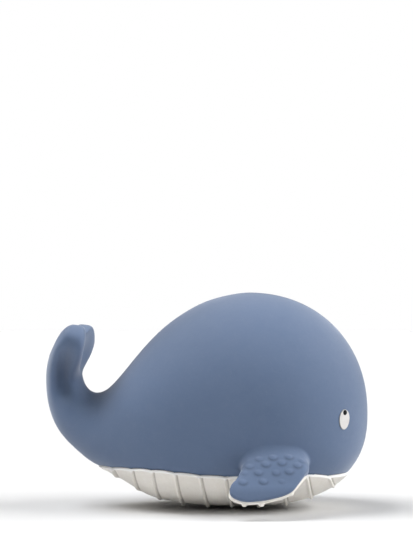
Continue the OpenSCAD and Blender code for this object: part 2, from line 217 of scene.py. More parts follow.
# ---------------------------------------------------------------- one net of points over body and tail
_q = np.linspace(1, 0, 150)[1:]
HEAD_T = -HEAD_ARC * np.concatenate([[0.9985], _q])
HEAD_T = HEAD_T[HEAD_T < GRID_T0]
BODY_T = np.concatenate([HEAD_T, np.arange(GRID_T0, node_t(10) - 0.2, GRID_H), [node_t(10)]])
TAIL_T = np.concatenate([np.arange(node_t(10) + GRID_H, T_CAP - 0.1, GRID_H), [T_CAP]])
ALL_T = np.concatenate([BODY_T, TAIL_T])
NA, NB, NC = 14, 40, 112
_lip = np.maximum(lip_angle(ALL_T), -84.0)
_lip = np.convolve(np.pad(_lip, 3, "edge"), np.ones(7) / 7, "valid")
_rate = np.maximum(6.0, rows(ALL_T)[:, 4])  # millimetres along a radian, about
_dv = np.degrees(2.0 / _rate)
_v1 = np.maximum(_lip - _dv, -90 + 0.5 * (_lip + 90))
_v2 = _lip + 1.3 * _dv
half = np.concatenate([
    -90 + (_v1 + 90)[:, None] * np.linspace(0, 1, NA, endpoint=False),
    _v1[:, None] + (_v2 - _v1)[:, None] * np.linspace(0, 1, NB, endpoint=False),
    _v2[:, None] + (90 - _v2)[:, None] * np.linspace(0, 1, NC)], axis=1)
ALL_V = np.concatenate([half, 180 - half[:, -2:0:-1]], axis=1)  # once round
NV = ALL_V.shape[1]


def cap_rows(s):
    """Rounded top of the fluke, s from 0 at the last section to 1 at the tip, in one sweep with the stalk."""
    r, b = rows(np.array([T_CAP, T_CAP - 0.4]))
    m0, d0 = (r[0:2] + r[2:4]) / 2, (r[0:2] - r[2:4]) / 2
    mb, db = (b[0:2] + b[2:4]) / 2, (b[0:2] - b[2:4]) / 2
    tip = np.array([-47.3, 69.8 * SZ])
    k = np.linalg.norm(tip - m0) / 0.4
    dm, dd, dw = (m0 - mb) * k, (d0 - db) * k, (r[4] - b[4]) * k
    a = s[:, None]
    m = m0 + dm * a + (tip - m0 - dm) * a ** 2
    d = (d0 + dd * a * (1 - a)) * np.maximum(0, 1 - a ** 2.3) ** (1 / 2.1)
    return m, d, (r[4] + dw * s * (1 - s) ** 2) * np.maximum(0, 1 - s ** 3.4) ** (1 / 2.2)


def tail_point(u, m, d, w, v):
    """Stalk and fluke: the front is cupped between two rims, the top is notched into two lobes."""
    c, s = np.cos(np.radians(v)), np.sin(np.radians(v))
    front = s > 0
    n = np.where(front, 2 + 5 * ease((u - 14.8) / 4.6) * (1 - 0.3 * ease((u - 18.6) / 4.4)), 2)
    k = (np.abs(c) ** n + np.abs(s) ** n) ** (-1 / n)
    y, h = c * k, s * k
    cup = 0.62 * ease((u - 15) / 4.5)
    h = h - np.where(front, cup * np.maximum(0, 1 - y ** 2) ** 2, 0)
    side = 0.34 * ease((u - 13) / 2.6) * (1 - ease((u - 16.4) / 5.2)) * np.exp(-(np.degrees(np.arcsin(s)) / 24) ** 2)
    Y = -w * y * (1 - side)
    mid = np.maximum(0, 1 - (Y / 18.6) ** 2) ** 2
    thin = 1 - 0.14 * ease((u - 17) / 4) * mid
    dip = 7.0 * SZ * ease((u - 18.4) / 5.4) * mid
    grow = 1 + np.where(front, 0.16 * ease((u - 15.4) / 3.4) * (1 - 0.4 * ease((u - 20.0) / 3)), 0)
    return np.stack([m[..., 0] + h * thin * grow * d[..., 0], Y, m[..., 1] + h * thin * grow * d[..., 1] - dip], -1)


def whole_net():
    p = body_point(ALL_T[:, None], ALL_V)
    u = np.interp(ALL_T, NODE_T, np.arange(len(NODE_T)))
    tail = u > 13
    r = rows(ALL_T[tail])
    m, d, w = (r[:, 0:2] + r[:, 2:4]) / 2, (r[:, 0:2] - r[:, 2:4]) / 2, r[:, 4]
    p[tail] = tail_point(u[tail][:, None], m[:, None], d[:, None], w[:, None], ALL_V[tail])
    s = np.sin(np.linspace(0, math.pi / 2, 61)[1:])
    s[-1] = 0.99994
    m, d, w = cap_rows(s)
    cap = tail_point(CAP_U + 3.4 * s[:, None], m[:, None], d[:, None], w[:, None], np.repeat(ALL_V[-1:], len(s), 0))
    return np.concatenate([p, cap]), len(ALL_T)


NET, _ = whole_net()


def net_normals(p):
    di = np.gradient(p, axis=0)
    dj = np.roll(p, -1, axis=1) - np.roll(p, 1, axis=1)
    return unit(np.cross(dj, di))


# painted shade: how strongly each point is darkened in the hollow of the stalk's side and in the bend before the back,
# where shade falls
_u = np.concatenate([np.interp(ALL_T, NODE_T, np.arange(len(NODE_T))), CAP_U + 3.4 * np.linspace(0, 1, len(NET) - len(ALL_T))])[:, None]
_s = np.degrees(np.arcsin(np.clip(np.sin(np.radians(np.concatenate([ALL_V, np.repeat(ALL_V[-1:], len(NET) - len(ALL_T), 0)]))), -1, 1)))
PAINTED_SHADE = 0.72 * np.exp(-((_u - 17.0) / 3.1) ** 2 - ((_s - 10) / 27) ** 2) + 1.15 * np.exp(-((_u - 9.2) / 2.9) ** 2 - ((90 - _s) / 31) ** 2)

BASE_N = net_normals(NET)
NBODY = len(BODY_T)
# blue skin rolls in above the lip and runs on under the cream panel
_d = lip_distance(NET[:NBODY], BASE_N[:NBODY])
_off = -0.32 * ease((0.5 - _d) / 0.7)
NET[:NBODY] += BASE_N[:NBODY] * _off[..., None]
NET_N = net_normals(NET)


def close_end(p, ring, inside, deep):
    """Points of a shallow cap that closes a ring out of sight."""
    c = ring.mean(axis=0)
    return [c + (ring - c) * 0.55 + inside * deep, c + inside * deep]


# writes a mesh's painted shade weights as a point attribute that the materials darken by
def shade_hollow(ob, part):
    deep = np.zeros(len(ob.data.vertices), np.float32)
    deep[:part.size] = part.reshape(-1)
    ob.data.attributes.new("hollow", "FLOAT", "POINT").data.foreach_set("value", deep)
    return ob


def build_body():
    p = NET[:NBODY]
    nose = body_point(-HEAD_ARC, 0.0)
    ring = p[-1]
    inner, mid = close_end(p, ring, unit(p[-6].mean(axis=0) - ring.mean(axis=0)), 1.6)
    verts = np.concatenate([p.reshape(-1, 3), nose[None], inner, mid[None]])
    norm = np.concatenate([NET_N[:NBODY].reshape(-1, 3), [[1, 0, 0]], np.repeat([[-1.0, 0, 0]], NV + 1, 0)])
    k = len(p) * NV
    faces = grid_faces(len(p), NV, True).tolist()
    j = np.arange(NV)
    n = (j + 1) % NV
    faces += np.stack([np.full(NV, k), n, j], -1).tolist()
    last = (len(p) - 1) * NV
    faces += np.stack([last + j, last + n, k + 1 + n, k + 1 + j], -1).tolist()
    faces += np.stack([k + 1 + j, k + 1 + n, np.full(NV, k + 1 + NV)], -1).tolist()
    ob = make_mesh("body_skin", verts, faces, norm)
    # painted shade: how close each point is to the crease above the lip, where the blue is painted dark in place of the
    # crease's shade
    near = np.zeros(len(verts))
    near[:k] = np.exp(-((_d.reshape(-1) - 0.15) / 0.42) ** 2)
    ob.data.attributes.new("crease", "FLOAT", "POINT").data.foreach_set("value", near.astype(np.float32))
    return shade_hollow(ob, PAINTED_SHADE[:NBODY])


def build_tail():
    p = NET[NBODY - 1:]
    tip = p[-1].mean(axis=0)
    ring = p[0]
    inner, mid = close_end(p, ring, unit(p[5].mean(axis=0) - ring.mean(axis=0)), 1.6)
    verts = np.concatenate([p.reshape(-1, 3), tip[None], inner, mid[None]])
    nn = NET_N[NBODY - 1:].reshape(-1, 3)
    norm = np.concatenate([nn, [[0, 0, 1]], np.repeat([[1.0, 0, 0]], NV + 1, 0)])
    k = len(p) * NV
    faces = grid_faces(len(p), NV, True).tolist()
    j = np.arange(NV)
    n = (j + 1) % NV
    last = (len(p) - 1) * NV
    faces += np.stack([last + j, last + n, np.full(NV, k)], -1).tolist()
    faces += np.stack([n, j, k + 1 + j, k + 1 + n], -1).tolist()
    faces += np.stack([k + 1 + n, k + 1 + j, np.full(NV, k + 1 + NV)], -1).tolist()
    return shade_hollow(make_mesh("tail_skin", verts, faces, norm), PAINTED_SHADE[NBODY - 1:])


# ---------------------------------------------------------------- cream belly panel with its ribs
PLUG_X, PLUG_R = 14.4, 3.5


def build_belly():
    keel = body_point(np.concatenate([HEAD_T, GRID_T[GRID_T < node_t(12)]]), -90.0)
    kt = np.concatenate([HEAD_T, GRID_T[GRID_T < node_t(12)]])
    below = keel[:, 2] - lip_z(keel[:, 0])
    i = np.nonzero(below < 0)[0]
    a, b = i[0], i[-1]
    front = np.interp(0, [below[a], below[a - 1]], [keel[a, 0], keel[a - 1, 0]])
    back = np.interp(0, [below[b], below[b + 1]], [keel[b, 0], keel[b + 1, 0]])
    t_of = lambda x: np.interp(x, keel[::-1, 0], kt[::-1])
    # columns: close together over each rib and towards both ends
    xs = []
    for r in RIBS:
        xs.append(r + np.linspace(-1.7, 1.7, 21))
    mids = [(RIBS[k] + 1.7, RIBS[k + 1] - 1.7) for k in range(len(RIBS) - 1)]
    for lo, hi in mids:
        xs.append(np.linspace(lo, hi, 11)[1:-1])
    e = 0.5 - 0.5 * np.cos(np.linspace(0, math.pi / 2, 26))
    e = e / e[-1]
    xs.append(back + (RIBS[0] - 1.7 - back) * (0.0008 + 0.9992 * e)[:-1])
    xs.append(front - (front - RIBS[-1] - 1.7) * (0.0008 + 0.9992 * e)[:-1])
    x = np.sort(np.concatenate(xs))
    lean = 2.6 * ease((x - back) / 9) * ease((front - x) / 9)
    # rows: from the right lip over the keel to the left lip
    h = np.concatenate([np.linspace(0, 1, 30, endpoint=False) ** 0.9 * 0.86, 0.86 + 0.14 * (1 - (1 - np.linspace(0, 1, 26)) ** 1.7)])
    w = np.concatenate([-h[:0:-1], h])
    xk = x[:, None] + lean[:, None] * (1 - np.abs(w)[None, :] ** 1.6)
    t = t_of(np.clip(xk, back, front))
    tt = np.linspace(t_of(front), t_of(back), 900)
    va = lip_angle(tt)
    va = np.interp(t, tt, va)
    v = -90 + np.abs(w)[None, :] * (va + 90)
    v = np.where(w[None, :] > 0, 180 - v, v)
    p = body_point(t, v)
    n = body_normal(t, v)
    d = -lip_distance(p, n)
    d = np.maximum(d, 0)
    rho = 0.6
    lip = np.sqrt(np.maximum(0, 1 - (1 - np.minimum(d, rho) / rho) ** 2))
    out = -0.06 + 0.76 * lip
    off = x[:, None] - RIBS[None, :]
    off = off[np.arange(len(x)), np.abs(off).argmin(axis=1)][:, None]
    # each rib is a thin bead on the flank with a fine groove on its front side, and broad along the keel
    flank = ease((np.abs(w) - 0.1) / 0.35)[None, :]
    half = 1.15 - 0.4 * flank
    ridge = np.cos(np.clip(np.abs(off) / half, 0, 1) * math.pi / 2) ** 1.6
    groove = np.exp(-((off - half - 0.05) / 0.26) ** 2) * ease((np.abs(w) - 0.15) / 0.25)[None, :] * ease(d / 0.9)
    # low on the flanks, tall along the part of the keel that stands on the floor
    stand = ease((x + 24) / 16) * ease((52 - x) / 16)
    tall = 0.3 + 0.38 * flank + 0.75 * stand[:, None] * (1 - ease((np.abs(w) - 0.05) / 0.4))[None, :]
    out = out + ridge * tall * ease(d / 1.1) - 0.32 * groove
    ring = np.hypot(p[..., 0] - PLUG_X, p[..., 1])
    under = p[..., 2] < 8
    out = out - np.where(under, 0.35 * np.exp(-((ring - PLUG_R - 0.15) / 0.22) ** 2), 0)
    outer = p + n * out[..., None]
    outer[..., 2] = np.maximum(outer[..., 2], 0)
    inner = p - n * (0.95 + 0 * out)[..., None]
    nx, nw = outer.shape[:2]
    verts = np.concatenate([outer.reshape(-1, 3), inner.reshape(-1, 3)])
    io = nx * nw
    faces = grid_faces(nx, nw, False).tolist() + grid_faces(nx, nw, False, io, True).tolist()
    edge = np.concatenate([np.arange(nw), np.arange(1, nx) * nw + nw - 1, (nx - 1) * nw + np.arange(nw - 2, -1, -1), np.arange(nx - 2, 0, -1) * nw])
    nxt = np.roll(edge, -1)
    faces += np.stack([nxt, edge, edge + io, nxt + io], -1).tolist()
    ob = make_mesh("belly_ribbed", verts, faces)
    # painted shade in the fine groove in front of each rib
    deep = np.zeros(len(verts), np.float32)
    deep[:io] = groove.reshape(-1)
    ob.data.attributes.new("hollow", "FLOAT", "POINT").data.foreach_set("value", deep)
    # painted highlight: the cream is lighter along its rounded top edge at the lip
    edge_highlight = np.zeros(len(verts), np.float32)
    edge_highlight[:io] = np.exp(-(d / 0.6) ** 2).reshape(-1)
    ob.data.attributes.new("edge", "FLOAT", "POINT").data.foreach_set("value", edge_highlight)
    return ob


# ---------------------------------------------------------------- flippers
ARC_Y, ARC_Z, ARC_R, FLIP_X, FLIP_YAW = 25.75, 3.05, 18.2, 20.0, math.radians(5)
OUTLINE = np.array([[13.4, 20.6], [14.0, 19.5], [13.9, 18.4], [13.3, 17.3], [12.4, 16.3], [9.8, 13.4], [7.3, 10.6], [4.2, 9.0], [-0.9, 7.7],
                    [-5.8, 7.0], [-9.6, 7.0], [-12.6, 7.9], [-14.3, 9.2], [-14.7, 10.9], [-14.0, 12.9],
                    [-12.4, 14.5], [-11.4, 15.8], [-10.6, 17.4], [-9.9, 19.0], [-8.4, 20.5], [0.0, 21.0], [8.0, 21.0]])
# chewing bumps: place along the root, angle round the paddle's curve, height
BUMPS = [(-3.7, 59.6, 0.18), (1.0, 60.2, 0.30), (6.5, 61.2, 0.26), (10.9, 59.0, 0.15), (-7.1, 52.8, 0.20), (-1.6, 53.2, 0.27), (3.9, 54.4, 0.27),
         (9.3, 52.7, 0.27), (-9.2, 45.4, 0.11), (-4.4, 44.7, 0.25), (1.7, 44.2, 0.24), (6.3, 45.5, 0.27), (-10.0, 34.5, 0.28), (-2.9, 35.0, 0.31), (3.5, 34.4, 0.12)]
# knobs of the underside, the first three on its rim
KNOBS = [(-9.5, 10.6), (-3.5, 10.5), (6.8, 23.9), (-6.4, 20), (0.4, 21), (-9.6, 29), (-2.6, 31), (3.6, 32)]

def closed_curve(pts, per=12):
    a, b, c, d = (np.roll(pts, k, axis=0)[:, None] for k in (1, 0, -1, -2))
    f = np.linspace(0, 1, per, endpoint=False)[None, :, None]
    return (0.5 * (2 * b + (c - a) * f + (2 * a - 5 * b + 4 * c - d) * f * f + (3 * b - a - 3 * c + d) * f ** 3)).reshape(-1, 2)


# the outline unrolled: x along the root, s along the curve
_o = OUTLINE.copy()
_o[:, 1] = ARC_R * np.arcsin(np.clip((OUTLINE[:, 1] - ARC_Z) / ARC_R, -1, 1))
_o = closed_curve(_o)
O_X0, O_S0, O_H = -26.0, -8.0, 0.12
_gx = O_X0 + O_H * np.arange(440)
_gs = O_S0 + O_H * np.arange(390)


def outline_table():
    a, b = _o, np.roll(_o, -1, axis=0)
    X, S = np.meshgrid(_gx, _gs, indexing="ij")
    best = np.full(X.shape, 1e9)
    inside = np.zeros(X.shape, bool)
    for (ax, ay), (bx, by) in zip(a, b):
        ex, ey = bx - ax, by - ay
        k = np.clip(((X - ax) * ex + (S - ay) * ey) / max(1e-9, ex * ex + ey * ey), 0, 1)
        best = np.minimum(best, (X - ax - k * ex) ** 2 + (S - ay - k * ey) ** 2)
        if ay != by:
            cross = ((ay > S) != (by > S)) & (X < (S - ay) * ex / ey + ax)
            inside ^= cross
    d = np.sqrt(best)
    return np.where(inside, -d, d)


O_TABLE = outline_table()


def bilinear(table, i, j):
    i = np.clip(i, 0, table.shape[0] - 1.001)
    j = np.clip(j, 0, table.shape[1] - 1.001)
    a, b = np.floor(i).astype(int), np.floor(j).astype(int)
    f, g = i - a, j - b
    return (table[a, b] * (1 - f) * (1 - g) + table[a + 1, b] * f * (1 - g)
            + table[a, b + 1] * (1 - f) * g + table[a + 1, b + 1] * f * g)


# the flank as width over x and z, for the soft fillet at the flipper's root
F_X0, F_Z0, F_H = -6.0, 4.0, 0.25
_fx = F_X0 + F_H * np.arange(int(54 / F_H) + 1)
_fz = F_Z0 + F_H * np.arange(int(36 / F_H) + 1)


def flank_table():
    tt = np.concatenate([np.linspace(-HEAD_ARC * 0.72, GRID_T0, 90)[:-1], GRID_T[GRID_T < node_t(4.5)]])
    v = np.linspace(-88, 15, 260)
    p = body_point(tt[:, None], v[None, :])
    yz = np.stack([np.interp(_fz, p[k, :, 2], -p[k, :, 1]) for k in range(len(tt))])
    xz = np.stack([np.interp(_fz, p[k, :, 2], p[k, :, 0]) for k in range(len(tt))])
    out = np.zeros((len(_fx), len(_fz)))
    for j in range(len(_fz)):
        out[:, j] = np.interp(_fx, xz[::-1, j], yz[::-1, j])
    return out


F_TABLE = flank_table()
F_DX, F_DZ = np.gradient(F_TABLE, F_H)
F_SLOPE = np.sqrt(1 + F_DX ** 2 + F_DZ ** 2)


def flip_world(p):
    """Points of the left flipper's own frame in the whale's frame."""
    c, s = math.cos(FLIP_YAW), math.sin(FLIP_YAW)
    return np.stack([FLIP_X + c * p[..., 0] + s * p[..., 1], -s * p[..., 0] + c * p[..., 1], p[..., 2]], -1)


def d_body(p):
    w = flip_world(p)
    i, j = (w[..., 0] - F_X0) / F_H, (w[..., 2] - F_Z0) / F_H
    return (w[..., 1] - bilinear(F_TABLE, i, j)) / bilinear(F_SLOPE, i, j)


def d_slab(p, r_lo, r_hi, grow, rho):
    y, z = p[..., 1] - ARC_Y, p[..., 2] - ARC_Z
    r, s = np.hypot(y, z), ARC_R * np.arctan2(z, y)
    q1 = bilinear(O_TABLE, (p[..., 0] - O_X0) / O_H, (s - O_S0) / O_H) - grow + rho
    q2 = np.abs(r - (r_lo + r_hi) / 2) - ((r_hi - r_lo) / 2 - rho)
    return np.hypot(np.maximum(q1, 0), np.maximum(q2, 0)) + np.minimum(np.maximum(q1, q2), 0) - rho


def on_arc(x, a, r):
    a = math.radians(a)
    return np.array([x, ARC_Y + r * math.cos(a), ARC_Z + r * math.sin(a)])


def d_paddle(p):
    """The blue layer, which swells into a round shoulder towards its root."""
    a = np.degrees(np.arctan2(p[..., 2] - ARC_Z, p[..., 1] - ARC_Y))
    broad = np.maximum(0, 1 - np.abs((p[..., 0] - 2.4) / 12.9) ** 2.5)
    root = ease((a - 44) / 12)
    return d_slab(p, ARC_R - 1.9 - 2.4 * root, ARC_R + 4.0 * ease((a - 30) / 44) * broad, 0.0, 0.85 + 1.2 * root)


def f_plain(p):
    """Blue layer run into the flank, before the bumps."""
    a = np.degrees(np.arctan2(p[..., 2] - ARC_Z, p[..., 1] - ARC_Y))
    return smin(d_body(p) + 0.03, d_paddle(p), 0.8 + 2.4 * ease((a - 38) / 14))


def seat_bump(x, a):
    """Radius at which the plain surface lies under a bump."""
    r = np.linspace(ARC_R + 8, ARC_R - 4, 1200)
    return float(r[np.argmax(f_plain(np.stack([on_arc(x, a, k) for k in r])) < 0)])


BUMP_RS = 2.1
BUMP_C = []
for _x, _a, _h in BUMPS:
    _r = seat_bump(_x, _a)
    _c = on_arc(_x, _a, _r)
    _g = np.array([f_plain(_c + 0.05 * np.eye(3)[k]) - f_plain(_c - 0.05 * np.eye(3)[k]) for k in range(3)])
    BUMP_C.append((_c + unit(_g) * (_h - BUMP_RS), _c[2], _r - 0.8))


def f_top(p):
    f = f_plain(p)
    r = np.hypot(p[..., 1] - ARC_Y, p[..., 2] - ARC_Z)
    for c, z, deep in BUMP_C:
        # broad, with a soft upper edge and a crisp lower one, and no deeper than the layer
        q = np.maximum(np.linalg.norm((p - c) * np.array([0.78, 1, 1]), axis=-1) - BUMP_RS, deep - r)
        f = smin(f, q, 0.06 + 0.3 * ease((p[..., 2] - z + 0.5) / 1.3))
    return np.maximum(np.maximum(f, d_paddle(p) - 7.0), -(d_body(p) + 3.0))


def f_under(p):
    """Cream lower layer: a thin rim along the edge, wide at the bottom, hidden above the lip and at the back."""
    a = np.degrees(np.arctan2(p[..., 2] - ARC_Z, p[..., 1] - ARC_Y))
    grow = 0.32 + 0.6 * (1 - ease((a - 12) / 14)) - 1.6 * ease((a - 46) / 6)
    grow = grow - 0.3 * ease((a - 18) / 8) * ease((-9 - p[..., 0]) / 4)
    f = d_slab(p, ARC_R - 3.6, ARC_R - 1.6, grow, 0.85)
    for x, b in KNOBS:
        f = smin(f, np.linalg.norm(p - on_arc(x, b, ARC_R - 2.9), axis=-1) - 1.05, 0.5)
    return f


def surface_net(f, lo, hi, h):
    """Closed quad mesh of f = 0 in a box, its points drawn onto the surface."""
    ax = [np.arange(lo[k], hi[k] + h, h) for k in range(3)]
    n = [len(a) for a in ax]
    val = np.empty(n)
    for i in range(n[0]):
        Y, Z = np.meshgrid(ax[1], ax[2], indexing="ij")
        val[i] = f(np.stack([np.full(Y.shape, ax[0][i]), Y, Z], -1))
    s = val < 0
    cut = [slice(0, -1), slice(1, None)]
    corner = lambda a, i, j, k: a[cut[i], cut[j], cut[k]]
    some = np.zeros([m - 1 for m in n], bool)
    every = np.ones_like(some)
    for i in (0, 1):
        for j in (0, 1):
            for k in (0, 1):
                some |= corner(s, i, j, k)
                every &= corner(s, i, j, k)
    live = some & ~every
    idx = np.full(live.shape, -1)
    idx[live] = np.arange(live.sum())
    cell = np.argwhere(live)
    acc, cnt = np.zeros((len(cell), 3)), np.zeros(len(cell))
    for axis in range(3):
        o1, o2 = [k for k in range(3) if k != axis]
        for b1 in (0, 1):
            for b2 in (0, 1):
                c0 = cell.copy()
                c0[:, o1] += b1
                c0[:, o2] += b2
                c1 = c0.copy()
                c1[:, axis] += 1
                v0, v1 = val[tuple(c0.T)], val[tuple(c1.T)]
                x = (v0 < 0) != (v1 < 0)
                k = np.where(x, v0 / np.where(x, v0 - v1, 1), 0)
                q = c0.astype(float)
                q[:, axis] += k
                acc[x] += q[x]
                cnt += x
    verts = np.array(lo) + h * acc / cnt[:, None]
    faces = []
    for axis in range(3):
        o1, o2 = (axis + 1) % 3, (axis + 2) % 3
        a = [slice(None)] * 3
        b = [slice(None)] * 3
        a[axis], b[axis] = slice(0, -1), slice(1, None)
        e = np.argwhere(s[tuple(a)] != s[tuple(b)])
        keep = (e[:, o1] > 0) & (e[:, o2] > 0) & (e[:, o1] < n[o1] - 1) & (e[:, o2] < n[o2] - 1)
        e = e[keep]
        quad = []
        for d1, d2 in ((-1, -1), (0, -1), (0, 0), (-1, 0)):
            c = e.copy()
            c[:, o1] += d1
            c[:, o2] += d2
            quad.append(idx[tuple(c.T)])
        quad = np.stack(quad, -1)
        rev = ~s[tuple(e.T)]
        quad[rev] = quad[rev][:, ::-1]
        faces.append(quad)
    faces = np.concatenate(faces)
    for _ in range(3):
        g = gradient(f, verts)
        step = f(verts)[:, None] * g / np.maximum(0.05, (g * g).sum(-1, keepdims=True))
        long = np.linalg.norm(step, axis=-1, keepdims=True)
        verts = verts - step * np.minimum(1, 0.4 * h / np.maximum(long, 1e-9))
    return verts, faces


def gradient(f, p, e=0.04):
    return np.stack([f(p + e * np.eye(3)[k]) - f(p - e * np.eye(3)[k]) for k in range(3)], -1) / (2 * e)


def mirror_y(v, f, n):
    m = np.array([1, -1, 1])
    return v * m, f[:, ::-1], None if n is None else n * m


def build_flippers():
    h = 0.3
    lo, hi = np.array([-25.0, 22.0, 1.5]), np.array([24.5, 49.0, 33.5])
    v, f = surface_net(f_top, lo, hi, h)
    g = unit(gradient(f_top, v, 0.06))
    # where the shoulder runs out on the flank it takes the flank's own normals
    c, s = math.cos(FLIP_YAW), math.sin(FLIP_YAW)
    skin = unit(gradient(d_body, v, 0.3))
    near = (1 - ease((d_body(v) - 0.02) / 0.3)) * (d_body(v) > -0.3)
    n = unit(g * (1 - near[:, None]) + skin * near[:, None])
    turn = lambda a: np.stack([c * a[:, 0] + s * a[:, 1], -s * a[:, 0] + c * a[:, 1], a[:, 2]], -1)
    top = (flip_world(v), f, turn(n))
    # painted shade: darker round the foot of each bump, most below it, and towards the blade's lower edge
    plain = np.exp(-(f_plain(v) / 0.1) ** 2)
    angle = np.degrees(np.arctan2(v[:, 2] - ARC_Z, v[:, 1] - ARC_Y))
    foot = 0.22 * (1 - ease((angle - 20) / 14))
    for (mid, z, deep), (x, a, tall) in zip(BUMP_C, BUMPS):
        q = np.linalg.norm((v - mid) * np.array([0.78, 1, 1]), axis=-1) - BUMP_RS
        below = (0.12 + 0.36 * ease((z - v[:, 2] + 0.5) / 1.2)) * min(1.0, (tall / 0.27) ** 1.5)
        foot = np.maximum(foot, plain * np.exp(-(q / 0.28) ** 2) * below)
    v2, f2 = surface_net(f_under, np.array([-18.0, 28.0, 1.0]), np.array([17.5, 48.0, 22.5]), h)
    under = (flip_world(v2), f2, turn(unit(gradient(f_under, v2, 0.05))))
    out = {}
    for side in ("left", "right"):
        a, b = (top, under) if side == "left" else (mirror_y(*top), mirror_y(*under))
        out[side] = (shade_hollow(make_mesh(side + "_flipper_skin", *a), foot), make_mesh(side + "_flipper_sole", *b))
    return out


# ---------------------------------------------------------------- eyes
EYE_X, EYE_Z, EYE_W, EYE_H = 49.9, 34.1, 5.2, 7.4


def eye_frame():
    """Running length and angle of the right eye's middle, with the skin's directions there."""
    t = -HEAD_ARC * math.asin((EYE_X - HEAD_X) / HEAD_LEN) / (math.pi / 2)
    v = np.linspace(-60, 30, 4000)
    z = body_point(t, v)[:, 2]
    v = float(np.interp(EYE_Z, z, v))
    n = body_normal(np.array(t), np.array(v))
    up = unit(np.array([-0.05, 0, 1.0]) - n * (n[2] - 0.05 * n[0]))
    return t, v, n, np.cross(up, n), up


EYE_T, EYE_V, EYE_N, EYE_E, EYE_UP = eye_frame()


def on_skin(a, b):
    """Points of the skin at a across and b up from the right eye's middle, and their normals."""
    t, v = np.full(a.shape, EYE_T), np.full(a.shape, EYE_V)
    p0 = body_point(EYE_T, EYE_V)
    for _ in range(8):
        p = body_point(t, v)
        pt = (body_point(t + 0.05, v) - body_point(t - 0.05, v)) / 0.1
        pv = (body_point(t, v + 0.05) - body_point(t, v - 0.05)) / 0.1
        r1, r2 = a - (p - p0) @ EYE_E, b - (p - p0) @ EYE_UP
        m11, m12, m21, m22 = pt @ EYE_E, pv @ EYE_E, pt @ EYE_UP, pv @ EYE_UP
        det = m11 * m22 - m12 * m21
        t = t + (m22 * r1 - m12 * r2) / det
        v = v + (m11 * r2 - m21 * r1) / det
    return body_point(t, v), body_normal(t, v)


def inlay(name, w, h, cx, cz, taper, profile, side, rings=30, around=96):
    """A disc that follows the skin. profile gives share of the radius and height above the skin."""
    th = np.linspace(0, 2 * math.pi, around, endpoint=False)
    k = np.array(profile)
    a = cx + w / 2 * k[:, 0:1] * np.cos(th) * (1 + taper * np.sin(th))
    b = cz + h / 2 * k[:, 0:1] * np.sin(th)
    p, n = on_skin(a, b)
    p = p + n * k[:, 1:2, None]
    c, cn = on_skin(np.array([cx]), np.array([cz]))
    top, low = c[0] + cn[0] * k[0, 1], c[0] + cn[0] * k[-1, 1]
    verts = np.concatenate([p.reshape(-1, 3), [top, low]])
    m = len(k) * around
    j = np.arange(around)
    nx = (j + 1) % around
    faces = grid_faces(len(k), around, True).tolist()
    faces += np.stack([np.full(around, m), nx, j], -1).tolist()
    last = (len(k) - 1) * around
    faces += np.stack([np.full(around, m + 1), last + j, last + nx], -1).tolist()
    faces = np.array([f + [f[-1]] if len(f) == 3 else f for f in faces])
    faces = faces[:, ::-1]
    if side == "left":
        verts = verts * np.array([1, -1, 1])
        faces = faces[:, ::-1]
    quads = [list(dict.fromkeys(f)) for f in faces.tolist()]
    ob = make_mesh(name, verts, quads)
    # share of the radius for each point; the eye white's paint darkens its outer rim by it as painted shade
    share = np.concatenate([np.repeat(k[:, 0], around), [0, 0]])
    ob.data.attributes.new("edge", "FLOAT", "POINT").data.foreach_set("value", share.astype(np.float32))
    return ob


def build_eyes():
    out = {}
    r = np.linspace(0.05, 0.8, 12)
    white = [(k, 0.30 + 0.06 * (1 - (k / 0.8) ** 2)) for k in r]
    white += [(0.85, 0.31), (0.89, 0.335), (0.93, 0.33), (0.96, 0.28), (0.98, 0.21), (0.993, 0.12), (1.0, 0.0), (1.0, -0.25), (0.9, -0.45), (0.5, -0.5), (0.05, -0.5)]
    dot = [(k, 0.50 + 0.10 * (1 - k * k)) for k in np.linspace(0.06, 0.8, 8)]
    dot += [(0.88, 0.50), (0.94, 0.47), (0.98, 0.42), (1.0, 0.35), (1.0, 0.1), (0.8, -0.1), (0.06, -0.1)]
    for side in ("right", "left"):
        out[side] = (inlay(side + "_eye_oval", EYE_W, EYE_H, 0, 0, 0.07, white, side),
                     inlay(side + "_eye_dot", 1.85, 1.85, 0.02, EYE_H / 2 - 1.15, 0, dot, side, around=48))
    return out


# ---------------------------------------------------------------- fill plug under the belly
def build_plug():
    z0 = 1.2 * SZ
    prof = [(0.12, z0 - 0.12), (0.9, z0 - 0.13), (1.0, z0 - 0.02), (1.25, z0), (1.4, z0 - 0.12), (2.4, z0 - 0.2), (2.9, z0 - 0.16),
            (3.15, z0 - 0.02), (3.27, z0 + 0.22), (3.3, z0 + 0.6), (3.3, z0 + 2.8), (4.6, z0 + 3.2), (4.9, z0 + 3.6), (4.3, z0 + 4.2), (0.12, z0 + 4.3)]
    k = 72
    th = np.linspace(0, 2 * math.pi, k, endpoint=False)
    pr = np.array(prof)
    p = np.stack([PLUG_X + pr[:, 0:1] * np.cos(th), pr[:, 0:1] * np.sin(th), np.repeat(pr[:, 1:2], k, 1)], -1)
    verts = np.concatenate([p.reshape(-1, 3), [[PLUG_X, 0, pr[0, 1]], [PLUG_X, 0, pr[-1, 1]]]])
    j = np.arange(k)
    n = (j + 1) % k
    faces = grid_faces(len(pr), k, True).tolist()
    faces += np.stack([np.full(k, len(pr) * k), n, j], -1).tolist()
    last = (len(pr) - 1) * k
    faces += np.stack([np.full(k, len(pr) * k + 1), last + j, last + n], -1).tolist()
    return make_mesh("belly_plug", verts, faces)


# ---------------------------------------------------------------- materials
def material(name):
    m = bpy.data.materials.new(name)
    m.use_nodes = True
    nt = m.node_tree
    return m, nt, nt.nodes["Principled BSDF"]


